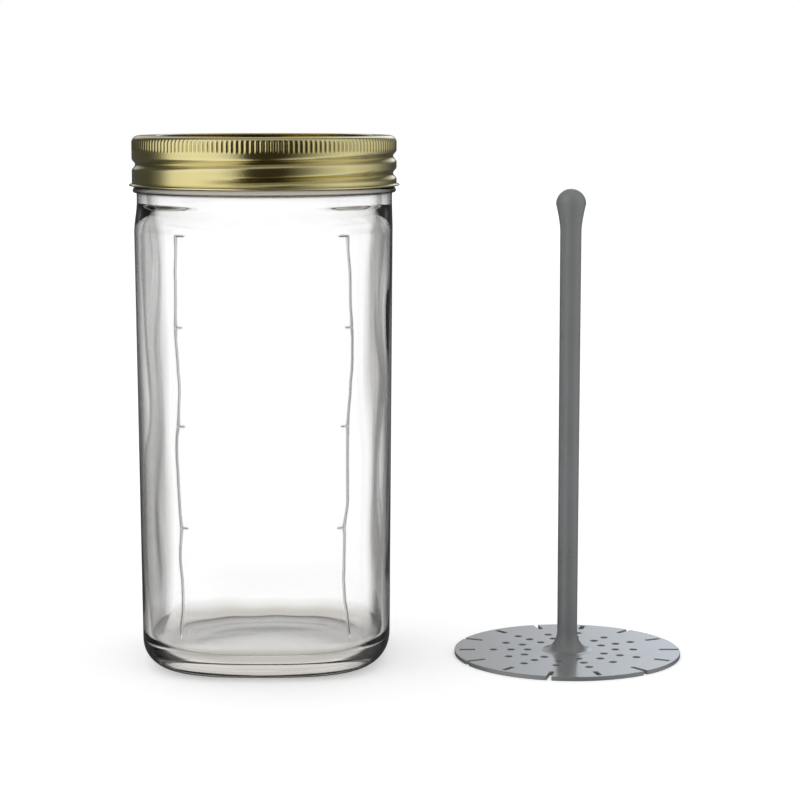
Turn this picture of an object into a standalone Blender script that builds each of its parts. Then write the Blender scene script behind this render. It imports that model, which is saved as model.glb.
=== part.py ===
"""Pickle keeper: a glass jar with a two-piece screw lid, and the lifter that stands beside it.

Metres, +Z up, with the table at z = 0. The origin lies on the table under the middle of the whole set.
The jar turns from a round neck into a soft square body. A flat metal disc with a sealing ring closes the
mouth, and a screw band holds it down. The lifter is one moulding: a strainer plate, a stem and a knob.
"""
import math

import bmesh
import bpy
from mathutils import Matrix

# How finely round shapes are divided
SEGMENTS = 48
HOLE_SEGMENTS = 12
FLUTE_SEGMENTS = 4
ARC_STEPS = 4
SMALL_ARC_STEPS = 3
CURL_STEPS = 2
SHOULDER_STEPS = 6
TUBE_RESOLUTION = 2
FULL_TURN = 2.0 * math.pi
QUARTER_TURN = math.pi / 2
WELD_DISTANCE = 0.00001
SMOOTH_ANGLE = math.radians(35)

# Lifter: strainer plate, stem and knob
PLATE_DIAMETER = 0.0864
PLATE_THICKNESS = 0.0016
PLATE_EDGE_ROUND = 0.0004
LIFTER_HEIGHT = 0.178
STEM_TOP_DIAMETER = 0.0080
STEM_FOOT_DIAMETER = 0.0076
KNOB_DIAMETER = 0.0113
KNOB_TAPER_LENGTH = 0.0101
KNOB_TAPER_POWER = 1.5
FLARE_RADIUS = 0.0096
FLARE_HEIGHT = 0.0076

# Pattern of the plate: rays that alternate between an open slot and a closed one
RAY_COUNT = 14
HOLE_DIAMETER = 0.0028
SLOT_WIDTH = 0.0017
OPEN_RAY_HOLE_SHARES = (0.43, 0.59)
CLOSED_RAY_HOLE_SHARES = (0.35, 0.50, 0.655)
SLOT_INNER_SHARE = 0.82
SLOT_OUTER_SHARE = 0.955

# Fits that the lifter sets on the jar
NECK_PASS_GAP = 0.0007
BODY_PASS_GAP = 0.0008

# Glass jar
JAR_HEIGHT = 0.195
BODY_SQUARENESS = 3.0
ROUND_SQUARENESS = 2.0
BODY_WALL = 0.0027
BODY_DRAFT = 0.0012
HEEL_RADIUS = 0.010
BEARING_WIDTH = 0.0030
PUSH_UP_HEIGHT = 0.0040
FLOOR_THICKNESS = 0.0065
FLOOR_CROWN = 0.0029
INNER_HEEL_RADIUS = 0.0075
SHOULDER_HEIGHT = 0.0110
NECK_HEIGHT = 0.0032
NECK_STEP = 0.0006
TRANSFER_BEAD_HEIGHT = 0.0022
TRANSFER_BEAD_PROUD = 0.0017
FINISH_HEIGHT = 0.0160
FINISH_WALL = 0.0032
RIM_ROUND = 0.0012
DOME_RING_SHARES = (0.70, 0.35)
TRANSFER_BEAD_SHARES = (0.2, 0.5, 0.8)

# Screw thread, right-handed, shared by the jar's neck and the screw band
THREAD_PITCH = 0.00635
THREAD_RISE = 0.0012
THREAD_BEAD_RADIUS = 0.0017
THREAD_BEAD_START = math.radians(-110)
THREAD_BEAD_END = math.radians(300)
THREAD_FADE = math.radians(30)
THREAD_END_SHARE = 0.25
THREAD_SEAT_GAP = 0.0004
GROOVE_DEPTH = 0.0013
GROOVE_ROUND = 0.0015
GROOVE_DROP = 0.0111
GROOVE_START = math.radians(-120)
GROOVE_END = math.radians(400)
GROOVE_END_CLEAR = 0.0002

# Lid: sealing ring, disc and screw band, stacked on the rim
SEAT_GAP = 0.0003
SEAL_THICKNESS = 0.0010
SEAL_EDGE_INSET = 0.0005
DISC_SHEET = 0.0005
DISC_PLUG_GAP = 0.0006
DISC_PLUG_DEPTH = 0.0012
DISC_BEND = 0.0006
DISC_CURL_ANGLE = math.radians(40)
DISC_BUTTON_RADIUS = 0.0100
DISC_BUTTON_SLOPE = 0.0040
DISC_BUTTON_HEIGHT = 0.0006
BAND_SHEET = 0.0005
BAND_GAP = 0.0006
BAND_SHOULDER_ROUND = 0.0026
BAND_LIP_WIDTH = 0.0064
FLANGE_OVERHANG = 0.0011
FLANGE_THICKNESS = 0.0006

# Knurl round the top of the screw band
KNURL_COUNT = 168
KNURL_DEPTH = 0.00032
KNURL_WIDTH_SHARE = 0.95
KNURL_PROUD_SHARE = 0.5
KNURL_PHASE_SHARE = 0.25
KNURL_TOP_DROP = 0.0010
KNURL_LENGTH = 0.0043

# How far the lifter stands from the closed jar, and how far a cutter runs past what it cuts
SET_GAP = 0.0211
CUT_OVERRUN = 0.0020

# Sizes worked out from those above
PLATE_RADIUS = PLATE_DIAMETER / 2
BORE_RADIUS = PLATE_RADIUS + NECK_PASS_GAP
FINISH_RADIUS = BORE_RADIUS + FINISH_WALL
NECK_RADIUS = FINISH_RADIUS + NECK_STEP
FOOT_INNER_HALF = PLATE_RADIUS + BODY_PASS_GAP
FOOT_HALF = FOOT_INNER_HALF + BODY_WALL
TOP_HALF = FOOT_HALF + BODY_DRAFT
TOP_INNER_HALF = TOP_HALF - BODY_WALL
BEARING_HALF = FOOT_HALF - HEEL_RADIUS
TRANSFER_BEAD_TOP_Z = JAR_HEIGHT - FINISH_HEIGHT
TRANSFER_BEAD_FOOT_Z = TRANSFER_BEAD_TOP_Z - TRANSFER_BEAD_HEIGHT
SHOULDER_TOP_Z = TRANSFER_BEAD_FOOT_Z - NECK_HEIGHT
BODY_TOP_Z = SHOULDER_TOP_Z - SHOULDER_HEIGHT

# Heights in the lid are counted from the jar's rim
SEAL_FOOT_Z = SEAT_GAP
DISC_FOOT_Z = SEAL_FOOT_Z + SEAL_THICKNESS + SEAT_GAP
DISC_TOP_Z = DISC_FOOT_Z + DISC_SHEET
BAND_LIP_FOOT_Z = DISC_TOP_Z + SEAT_GAP
BAND_TOP_Z = BAND_LIP_FOOT_Z + BAND_SHEET
FLANGE_FOOT_Z = SEAT_GAP - FINISH_HEIGHT
FLANGE_TOP_Z = FLANGE_FOOT_Z + FLANGE_THICKNESS

THREAD_CREST_RADIUS = FINISH_RADIUS + THREAD_RISE
THREAD_BEAD_PATH_RADIUS = THREAD_CREST_RADIUS - THREAD_BEAD_RADIUS
BAND_INNER_RADIUS = THREAD_CREST_RADIUS + BAND_GAP
BAND_RADIUS = BAND_INNER_RADIUS + BAND_SHEET
FLANGE_RADIUS = BAND_RADIUS + FLANGE_OVERHANG
GROOVE_PATH_RADIUS = BAND_RADIUS - GROOVE_DEPTH + GROOVE_ROUND
RIDGE_RADIUS = GROOVE_ROUND + BAND_SHEET
LIP_HOLE_RADIUS = BAND_RADIUS - BAND_SHOULDER_ROUND - BAND_LIP_WIDTH
SHOULDER_CENTRE_RADIUS = BAND_RADIUS - BAND_SHOULDER_ROUND
SHOULDER_CENTRE_Z = BAND_TOP_Z - BAND_SHOULDER_ROUND
THREAD_SEAT_REACH = RIDGE_RADIUS + THREAD_BEAD_RADIUS + THREAD_SEAT_GAP
THREAD_PATH_STEP = GROOVE_PATH_RADIUS - THREAD_BEAD_PATH_RADIUS
THREAD_SEAT_RISE = math.sqrt(THREAD_SEAT_REACH ** 2 - THREAD_PATH_STEP ** 2)

LIFTER_OFFSET = FLANGE_RADIUS + SET_GAP + PLATE_RADIUS
JAR_X = (FLANGE_RADIUS - PLATE_RADIUS - LIFTER_OFFSET) / 2
LIFTER_X = JAR_X + LIFTER_OFFSET


def clear_scene():
    """Start from an empty file."""
    for old in list(bpy.data.objects):
        bpy.data.objects.remove(old, do_unlink=True)


def new_collection(name):
    """A collection in the scene."""
    collection = bpy.data.collections.new(name)
    bpy.context.scene.collection.children.link(collection)
    return collection


def new_material(name, colour, roughness, metallic=0.0, transmission=0.0):
    """A Principled material with the finish of one sub-part."""
    material = bpy.data.materials.new(name)
    material.use_nodes = True
    shader = material.node_tree.nodes["Principled BSDF"]
    shader.inputs["Base Color"].default_value = (*colour, 1.0)
    shader.inputs["Roughness"].default_value = roughness
    shader.inputs["Metallic"].default_value = metallic
    shader.inputs["Transmission Weight"].default_value = transmission
    return material


def new_empty(name, collection, parent=None, location=(0.0, 0.0, 0.0)):
    """An empty that stands on a joint's axis."""
    empty = bpy.data.objects.new(name, None)
    collection.objects.link(empty)
    empty.parent = parent
    empty.location = location
    return empty


def new_object(name, mesh, collection, parent):
    """An object for a finished mesh, under its parent."""
    made = bpy.data.objects.new(name, mesh)
    collection.objects.link(made)
    made.parent = parent
    return made


def mesh_from(shape, name):
    """A smooth mesh from a bmesh, with its sharp edges marked."""
    mesh = bpy.data.meshes.new(name)
    shape.to_mesh(mesh)
    shape.free()
    mesh.shade_smooth()
    mesh.set_sharp_from_angle(angle=SMOOTH_ANGLE)
    return mesh


def finish(made):
    """Settle the modifiers into the mesh, so that its edges can be marked sharp by their angle."""
    bpy.context.view_layer.update()
    evaluated = made.evaluated_get(bpy.context.evaluated_depsgraph_get())
    mesh = bpy.data.meshes.new_from_object(evaluated)
    mesh.name = made.name
    made.modifiers.clear()
    made.data = mesh
    mesh.shade_smooth()
    mesh.set_sharp_from_angle(angle=SMOOTH_ANGLE)


def as_cutter(cutter):
    """Show a cutter as wire only."""
    cutter.hide_render = True
    cutter.display_type = "WIRE"
    return cutter


def boolean(target, tool, operation):
    """Cut the tool out of the target, or join it on."""
    modifier = target.modifiers.new(tool.name, "BOOLEAN")
    modifier.operation = operation
    modifier.solver = "EXACT"
    modifier.object = tool


def arc(centre_radius, centre_z, radius, start, end, steps=ARC_STEPS):
    """Points (radius, z) along a round stretch of a profile, both ends included."""
    points = []
    for step in range(steps + 1):
        angle = start + (end - start) * step / steps
        points.append((centre_radius + radius * math.cos(angle), centre_z + radius * math.sin(angle)))
    return points


def eased(first, last, share):
    """A value that leaves the first and reaches the last with no slope."""
    return first + (last - first) * share * share * (3.0 - 2.0 * share)


def turned(name, profile, collection, parent, closed=False):
    """A turned shape: a profile of (radius, z) points swept once round the axis."""
    shape = bmesh.new()
    corners = [shape.verts.new((radius, 0.0, z)) for radius, z in profile]
    for first, second in zip(corners, corners[1:]):
        shape.edges.new((first, second))
    if closed:
        shape.edges.new((corners[-1], corners[0]))
    mesh = bpy.data.meshes.new(name)
    shape.to_mesh(mesh)
    shape.free()
    made = new_object(name, mesh, collection, parent)
    screw = made.modifiers.new("turn", "SCREW")
    screw.axis = "Z"
    screw.angle = FULL_TURN
    screw.steps = SEGMENTS
    screw.render_steps = SEGMENTS
    screw.use_merge_vertices = True
    screw.merge_threshold = WELD_DISTANCE
    screw.use_smooth_shade = True
    return made


def helix_tube(name, path_radius, tube_radius, base_z, start, end, end_path_radius, end_share, parent):
    """A tube along the thread's helix, which fades out at both ends."""
    curve = bpy.data.curves.new(name, "CURVE")
    curve.dimensions = "3D"
    curve.twist_mode = "Z_UP"
    curve.bevel_depth = tube_radius
    curve.bevel_resolution = TUBE_RESOLUTION
    curve.use_fill_caps = True
    step_angle = FULL_TURN / SEGMENTS
    count = round((end - start) / step_angle)
    spline = curve.splines.new("POLY")
    spline.points.add(count)
    for index, point in enumerate(spline.points):
        angle = start + index * step_angle
        reached = min(1.0, index * step_angle / THREAD_FADE, (count - index) * step_angle / THREAD_FADE)
        radius = eased(end_path_radius, path_radius, reached)
        z = base_z + THREAD_PITCH * angle / FULL_TURN
        point.co = (radius * math.cos(angle), radius * math.sin(angle), z, 1.0)
        point.radius = eased(end_share, 1.0, reached)
    source = bpy.data.objects.new(name + "_path", curve)
    bpy.context.scene.collection.objects.link(source)
    source.parent = parent
    bpy.context.view_layer.update()
    evaluated = source.evaluated_get(bpy.context.evaluated_depsgraph_get())
    mesh = bpy.data.meshes.new_from_object(evaluated)
    shape = bmesh.new()
    shape.from_mesh(mesh)
    bmesh.ops.remove_doubles(shape, verts=shape.verts, dist=WELD_DISTANCE)
    bmesh.ops.recalc_face_normals(shape, faces=shape.faces)
    shape.to_mesh(mesh)
    shape.free()
    placed = source.matrix_world.copy()
    bpy.data.objects.remove(source, do_unlink=True)
    tube = bpy.data.objects.new(name, mesh)
    tube.matrix_world = placed
    return as_cutter(tube)


def wall_ring(half_width, squareness, z):
    """One ring of the jar's wall: a circle at squareness 2, a soft square above it."""
    ring = []
    for step in range(SEGMENTS):
        angle = step * FULL_TURN / SEGMENTS
        spread = abs(math.cos(angle)) ** squareness + abs(math.sin(angle)) ** squareness
        radius = half_width / spread ** (1.0 / squareness)
        ring.append((radius * math.cos(angle), radius * math.sin(angle), z))
    return ring


def loft(name, rings, first_z, last_z):
    """A closed skin over rings of equal count, with a point in the middle of each end."""
    shape = bmesh.new()
    rows = [[shape.verts.new(place) for place in ring] for ring in rings]
    for lower, upper in zip(rows, rows[1:]):
        for step in range(SEGMENTS):
            after = (step + 1) % SEGMENTS
            shape.faces.new((lower[step], lower[after], upper[after], upper[step]))
    for row, z in ((rows[0], first_z), (rows[-1], last_z)):
        middle = shape.verts.new((0.0, 0.0, z))
        for step in range(SEGMENTS):
            shape.faces.new((row[step], row[(step + 1) % SEGMENTS], middle))
    bmesh.ops.recalc_face_normals(shape, faces=shape.faces)
    return mesh_from(shape, name)


def jar_outer_stations():
    """Outside of the jar from the middle of its base up to the rim, as (half width, squareness, z)."""
    hollow_edge = BEARING_HALF - BEARING_WIDTH
    stations = []
    for share in reversed(DOME_RING_SHARES):
        squareness = eased(ROUND_SQUARENESS, BODY_SQUARENESS, share)
        stations.append((hollow_edge * share, squareness, PUSH_UP_HEIGHT * (1.0 - share * share)))
    stations.append((hollow_edge, BODY_SQUARENESS, 0.0))
    for half, z in arc(BEARING_HALF, HEEL_RADIUS, HEEL_RADIUS, -QUARTER_TURN, 0.0):
        stations.append((half, BODY_SQUARENESS, z))
    for step in range(SHOULDER_STEPS + 1):
        share = step / SHOULDER_STEPS
        half = eased(TOP_HALF, NECK_RADIUS, share)
        squareness = eased(BODY_SQUARENESS, ROUND_SQUARENESS, share)
        stations.append((half, squareness, BODY_TOP_Z + SHOULDER_HEIGHT * share))
    stations.append((NECK_RADIUS, ROUND_SQUARENESS, TRANSFER_BEAD_FOOT_Z))
    bead_half_height = TRANSFER_BEAD_HEIGHT / 2
    for share in TRANSFER_BEAD_SHARES:
        stations.append((
            NECK_RADIUS + TRANSFER_BEAD_PROUD * math.sqrt(math.sin(math.pi * share)),
            ROUND_SQUARENESS,
            TRANSFER_BEAD_TOP_Z - bead_half_height * (1.0 + math.cos(math.pi * share)),
        ))
    stations.append((FINISH_RADIUS, ROUND_SQUARENESS, TRANSFER_BEAD_TOP_Z))
    rim_z = JAR_HEIGHT - RIM_ROUND
    for radius, z in arc(FINISH_RADIUS - RIM_ROUND, rim_z, RIM_ROUND, 0.0, QUARTER_TURN, SMALL_ARC_STEPS):
        stations.append((radius, ROUND_SQUARENESS, z))
    return stations


def jar_inner_stations():
    """Inside of the jar from the rim down to the middle of its floor, as (half width, squareness, z)."""
    rim_z = JAR_HEIGHT - RIM_ROUND
    stations = []
    for radius, z in arc(BORE_RADIUS + RIM_ROUND, rim_z, RIM_ROUND, QUARTER_TURN, math.pi, SMALL_ARC_STEPS):
        stations.append((radius, ROUND_SQUARENESS, z))
    for step in range(SHOULDER_STEPS + 1):
        share = step / SHOULDER_STEPS
        half = eased(BORE_RADIUS, TOP_INNER_HALF, share)
        squareness = eased(ROUND_SQUARENESS, BODY_SQUARENESS, share)
        stations.append((half, squareness, SHOULDER_TOP_Z - SHOULDER_HEIGHT * share))
    heel_half = FOOT_INNER_HALF - INNER_HEEL_RADIUS
    heel_z = FLOOR_THICKNESS + INNER_HEEL_RADIUS
    for half, z in arc(heel_half, heel_z, INNER_HEEL_RADIUS, 0.0, -QUARTER_TURN):
        stations.append((half, BODY_SQUARENESS, z))
    for share in DOME_RING_SHARES:
        squareness = eased(ROUND_SQUARENESS, BODY_SQUARENESS, share)
        stations.append((heel_half * share, squareness, FLOOR_THICKNESS + FLOOR_CROWN * (1.0 - share * share)))
    return stations


def build_glass_jar(collection, cutters, parent):
    """The jar: one wall lofted from the base over the rim to the floor, with the thread on its neck."""
    rings = [wall_ring(*station) for station in jar_outer_stations() + jar_inner_stations()]
    mesh = loft("glass_jar", rings, PUSH_UP_HEIGHT, FLOOR_THICKNESS + FLOOR_CROWN)
    jar = new_object("glass_jar", mesh, collection, parent)
    thread = helix_tube(
        "thread_bead", THREAD_BEAD_PATH_RADIUS, THREAD_BEAD_RADIUS,
        JAR_HEIGHT - GROOVE_DROP + THREAD_SEAT_RISE, THREAD_BEAD_START, THREAD_BEAD_END,
        FINISH_RADIUS - THREAD_BEAD_RADIUS / 2, THREAD_END_SHARE, parent,
    )
    cutters.objects.link(thread)
    boolean(jar, thread, "UNION")
    jar.data.materials.append(new_material("clear_glass", (0.95, 0.96, 0.95), 0.03, transmission=1.0))
    finish(jar)


def build_sealing_ring(collection, parent):
    """The ring of sealing compound that the disc presses on the rim."""
    inner = BORE_RADIUS + SEAL_EDGE_INSET
    outer = FINISH_RADIUS - SEAL_EDGE_INSET
    top_z = SEAL_FOOT_Z + SEAL_THICKNESS
    profile = [(inner, top_z), (outer, top_z), (outer, SEAL_FOOT_Z), (inner, SEAL_FOOT_Z)]
    ring = turned("sealing_ring", profile, collection, parent, closed=True)
    ring.data.materials.append(new_material("sealing_compound", (0.80, 0.79, 0.76), 0.55))
    finish(ring)


def build_lid_disc(collection, parent):
    """The flat lid: a pressed disc that drops a little into the mouth and curls over the rim."""
    plug_radius = BORE_RADIUS - DISC_PLUG_GAP
    plug_inner = plug_radius - DISC_SHEET
    panel_top = DISC_TOP_Z - DISC_PLUG_DEPTH
    panel_foot = DISC_FOOT_Z - DISC_PLUG_DEPTH
    slope_radius = DISC_BUTTON_RADIUS + DISC_BUTTON_SLOPE
    curl_outer = BAND_SHOULDER_ROUND - BAND_SHEET - SEAT_GAP
    curl_inner = curl_outer - DISC_SHEET
    curl_end = QUARTER_TURN - DISC_CURL_ANGLE
    profile = [(0.0, panel_top + DISC_BUTTON_HEIGHT)]
    profile.append((DISC_BUTTON_RADIUS, panel_top + DISC_BUTTON_HEIGHT))
    profile.append((slope_radius, panel_top))
    profile.append((plug_inner - DISC_BEND, panel_top))
    profile.append((plug_inner, DISC_TOP_Z))
    profile += arc(SHOULDER_CENTRE_RADIUS, SHOULDER_CENTRE_Z, curl_outer, QUARTER_TURN, curl_end, CURL_STEPS)
    profile += arc(SHOULDER_CENTRE_RADIUS, SHOULDER_CENTRE_Z, curl_inner, curl_end, QUARTER_TURN, CURL_STEPS)
    profile.append((plug_radius, DISC_FOOT_Z))
    profile.append((plug_radius - DISC_BEND, panel_foot))
    profile.append((slope_radius, panel_foot))
    profile.append((DISC_BUTTON_RADIUS, panel_foot + DISC_BUTTON_HEIGHT))
    profile.append((0.0, panel_foot + DISC_BUTTON_HEIGHT))
    disc = turned("lid_disc", profile, collection, parent)
    disc.data.materials.append(new_material("lacquered_disc", (0.72, 0.63, 0.34), 0.32, metallic=1.0))
    finish(disc)


def facet_radius(radius, angle):
    """How far out a turned wall of flat facets lies at an angle."""
    half_facet = math.pi / SEGMENTS
    into_facet = angle % (2.0 * half_facet)
    return radius * math.cos(half_facet) / math.cos(into_facet - half_facet)


def build_knurl_cutter(cutters, parent):
    """The flutes of the knurl: a ring of upright diamond bars, each cutting one shallow groove."""
    shape = bmesh.new()
    half_width = math.pi * BAND_RADIUS / KNURL_COUNT * KNURL_WIDTH_SHARE
    proud = KNURL_DEPTH * KNURL_PROUD_SHARE
    stretch = Matrix.Diagonal((KNURL_DEPTH + proud, half_width, KNURL_LENGTH, 1.0))
    centre_z = BAND_TOP_Z - KNURL_TOP_DROP - KNURL_LENGTH / 2
    for flute in range(KNURL_COUNT):
        angle = (flute + KNURL_PHASE_SHARE) * FULL_TURN / KNURL_COUNT
        centre = Matrix.Translation((facet_radius(BAND_RADIUS, angle) + proud, 0.0, centre_z))
        bmesh.ops.create_cone(
            shape, cap_ends=True, segments=FLUTE_SEGMENTS, radius1=1.0, radius2=1.0, depth=1.0,
            matrix=Matrix.Rotation(angle, 4, "Z") @ centre @ stretch)
    cutter = new_object("knurl_flutes", mesh_from(shape, "knurl_flutes"), cutters, parent)
    return as_cutter(cutter)


def build_screw_band(collection, cutters, parent):
    """The screw band: a rolled sheet ring with a lip over the disc, a knurl, a thread groove and a flange."""
    outside = [(0.0, BAND_TOP_Z)]
    outside += arc(SHOULDER_CENTRE_RADIUS, SHOULDER_CENTRE_Z, BAND_SHOULDER_ROUND, QUARTER_TURN, 0.0, SMALL_ARC_STEPS)
    outside.append((BAND_RADIUS, FLANGE_TOP_Z))
    outside.append((FLANGE_RADIUS, FLANGE_TOP_Z))
    outside.append((FLANGE_RADIUS, FLANGE_FOOT_Z))
    outside.append((0.0, FLANGE_FOOT_Z))
    band = turned("screw_band", outside, collection, parent)

    inner_round = BAND_SHOULDER_ROUND - BAND_SHEET
    inside = [(0.0, BAND_TOP_Z + CUT_OVERRUN), (LIP_HOLE_RADIUS, BAND_TOP_Z + CUT_OVERRUN)]
    inside.append((LIP_HOLE_RADIUS, BAND_LIP_FOOT_Z))
    inside += arc(SHOULDER_CENTRE_RADIUS, SHOULDER_CENTRE_Z, inner_round, QUARTER_TURN, 0.0, SMALL_ARC_STEPS)
    inside.append((BAND_INNER_RADIUS, FLANGE_FOOT_Z - CUT_OVERRUN))
    inside.append((0.0, FLANGE_FOOT_Z - CUT_OVERRUN))
    cavity = as_cutter(turned("band_cavity", inside, cutters, parent))

    end_path_radius = BAND_RADIUS + GROOVE_ROUND + GROOVE_END_CLEAR
    for name, tube_radius, target in (("band_ridge", RIDGE_RADIUS, cavity), ("band_groove", GROOVE_ROUND, band)):
        tube = helix_tube(
            name, GROOVE_PATH_RADIUS, tube_radius, -GROOVE_DROP, GROOVE_START, GROOVE_END,
            end_path_radius, 1.0, parent)
        cutters.objects.link(tube)
        boolean(target, tube, "DIFFERENCE")
    boolean(band, cavity, "DIFFERENCE")
    boolean(band, build_knurl_cutter(cutters, parent), "DIFFERENCE")
    band.data.materials.append(new_material("gold_lacquer", (0.72, 0.63, 0.34), 0.28, metallic=1.0))
    finish(band)


def lifter_profile():
    """Half outline of the lifter, from the top of the knob down the stem to the middle of the plate."""
    knob_radius = KNOB_DIAMETER / 2
    stem_top = STEM_TOP_DIAMETER / 2
    stem_foot = STEM_FOOT_DIAMETER / 2
    knob_z = LIFTER_HEIGHT - knob_radius
    profile = [(0.0, LIFTER_HEIGHT)]
    profile += arc(0.0, knob_z, knob_radius, QUARTER_TURN, 0.0)[1:]
    for step in range(1, ARC_STEPS + 1):
        share = step / ARC_STEPS
        radius = stem_top + (knob_radius - stem_top) * (1.0 - share) ** KNOB_TAPER_POWER
        profile.append((radius, knob_z - KNOB_TAPER_LENGTH * share))
    for step in range(ARC_STEPS + 1):
        angle = QUARTER_TURN * step / ARC_STEPS
        radius = stem_foot + (FLARE_RADIUS - stem_foot) * (1.0 - math.cos(angle))
        profile.append((radius, PLATE_THICKNESS + FLARE_HEIGHT * (1.0 - math.sin(angle))))
    profile.append((PLATE_RADIUS - PLATE_EDGE_ROUND, PLATE_THICKNESS))
    profile.append((PLATE_RADIUS, PLATE_THICKNESS - PLATE_EDGE_ROUND))
    profile.append((PLATE_RADIUS, 0.0))
    profile.append((0.0, 0.0))
    return profile


def build_plate_cutter(cutters, parent):
    """The holes and slots of the strainer plate, ray by ray."""
    shape = bmesh.new()
    depth = PLATE_THICKNESS + 2.0 * CUT_OVERRUN
    hole_radius = HOLE_DIAMETER / 2
    for ray in range(RAY_COUNT):
        turn = Matrix.Rotation(ray * FULL_TURN / RAY_COUNT, 4, "Z")
        opens = ray % 2 == 0
        for share in OPEN_RAY_HOLE_SHARES if opens else CLOSED_RAY_HOLE_SHARES:
            place = Matrix.Translation((PLATE_RADIUS * share, 0.0, PLATE_THICKNESS / 2))
            bmesh.ops.create_cone(
                shape, cap_ends=True, segments=HOLE_SEGMENTS,
                radius1=hole_radius, radius2=hole_radius, depth=depth, matrix=turn @ place)
        inner = PLATE_RADIUS * SLOT_INNER_SHARE
        outer = PLATE_RADIUS + CUT_OVERRUN if opens else PLATE_RADIUS * SLOT_OUTER_SHARE
        place = Matrix.Translation(((inner + outer) / 2, 0.0, PLATE_THICKNESS / 2))
        size = Matrix.Diagonal((outer - inner, SLOT_WIDTH, depth, 1.0))
        bmesh.ops.create_cube(shape, size=1.0, matrix=turn @ place @ size)
    cutter = new_object("plate_openings", mesh_from(shape, "plate_openings"), cutters, parent)
    return as_cutter(cutter)


def build_lifter(collection, cutters, parent):
    """The lifter: knob, stem, flared foot and pierced plate in one turned moulding."""
    lifter = turned("lift_strainer", lifter_profile(), collection, parent)
    boolean(lifter, build_plate_cutter(cutters, parent), "DIFFERENCE")
    lifter.data.materials.append(new_material("grey_plastic", (0.19, 0.20, 0.20), 0.35))
    finish(lifter)


def main():
    """Build the whole set."""
    clear_scene()
    parts = new_collection("pickle_keeper")
    cutters = new_collection("cutters")
    jar_base = new_empty("jar_base", parts, location=(JAR_X, 0.0, 0.0))
    lid_axis = new_empty("lid_axis", parts, parent=jar_base, location=(0.0, 0.0, JAR_HEIGHT))
    lifter_axis = new_empty("lifter_axis", parts, location=(LIFTER_X, 0.0, 0.0))
    build_glass_jar(parts, cutters, jar_base)
    build_sealing_ring(parts, lid_axis)
    build_lid_disc(parts, lid_axis)
    build_screw_band(parts, cutters, lid_axis)
    build_lifter(parts, cutters, lifter_axis)


main()
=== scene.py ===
# %% [markdown]
# # A pickle jar and its lifter
# This lesson dresses a finished part for a photograph. The part is a soft square glass jar with a gold
# two-piece lid, and beside it a grey plastic lifter: a pierced plate on a stem, which raises pickles out of
# the brine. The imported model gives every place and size, so nothing here is measured by eye. Each piece that
# shows is modelled again with finer faces, gets its own finish, and rides on the body that moves it.

# %% Load the frame
import math

import bpy
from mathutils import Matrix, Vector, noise


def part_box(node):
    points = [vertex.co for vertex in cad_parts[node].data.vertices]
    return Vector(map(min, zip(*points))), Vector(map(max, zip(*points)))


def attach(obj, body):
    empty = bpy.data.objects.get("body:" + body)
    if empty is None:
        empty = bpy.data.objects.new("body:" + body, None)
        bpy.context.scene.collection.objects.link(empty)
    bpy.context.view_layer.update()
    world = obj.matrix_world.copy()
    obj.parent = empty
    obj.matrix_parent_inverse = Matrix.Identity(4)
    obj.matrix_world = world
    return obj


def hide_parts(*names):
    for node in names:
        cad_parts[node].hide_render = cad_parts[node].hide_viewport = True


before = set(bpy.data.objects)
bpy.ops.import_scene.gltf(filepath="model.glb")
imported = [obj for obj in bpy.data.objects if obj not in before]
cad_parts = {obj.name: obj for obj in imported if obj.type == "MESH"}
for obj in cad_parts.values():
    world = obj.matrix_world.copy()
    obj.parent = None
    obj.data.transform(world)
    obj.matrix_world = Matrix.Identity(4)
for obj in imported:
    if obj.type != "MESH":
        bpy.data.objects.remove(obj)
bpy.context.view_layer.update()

# %% [markdown]
# ## Where things stand
# The jar and the lifter are both built round an upright axis. The middle of a node's box gives that axis, so
# the new pieces are drawn round x = 0 first, where a radius is simply a radius, and then put in their place.

# %% Axes and heights
FULL_TURN = 2.0 * math.pi
QUARTER_TURN = math.pi / 2


def middle_of(node):
    """The upright axis of a CAD node, and its lowest and highest point."""
    low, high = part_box(node)
    return (low.x + high.x) / 2, low.z, high.z


JAR_X, TABLE_Z, RIM_Z = middle_of("glass_jar")
LIFTER_X, _, LIFTER_TOP_Z = middle_of("lift_strainer")
_, BAND_FOOT_Z, BAND_TOP_Z = middle_of("screw_band")
PLATE_RADIUS = (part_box("lift_strainer")[1].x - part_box("lift_strainer")[0].x) / 2
FLANGE_RADIUS = (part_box("screw_band")[1].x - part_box("screw_band")[0].x) / 2
print("axes at x, mm:", round(1000 * JAR_X, 2), round(1000 * LIFTER_X, 2))
print("rim, band top, lifter top, mm:", [round(1000 * z, 1) for z in (RIM_Z, BAND_TOP_Z, LIFTER_TOP_Z)])

# %% [markdown]
# ## Camera
# The photograph looks almost level at the lid and a little down at the table. A camera just above the lid,
# tilted down to the middle of the set, gives both. Its lens follows from how wide the picture is at the set.

# %% Camera
CAMERA_X = -0.0031
CAMERA_BACK = 0.88
CAMERA_HEIGHT = 0.2134
AIM_HEIGHT = 0.0982
PICTURE_WIDTH = 0.303
SENSOR_WIDTH = 36.0

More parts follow.
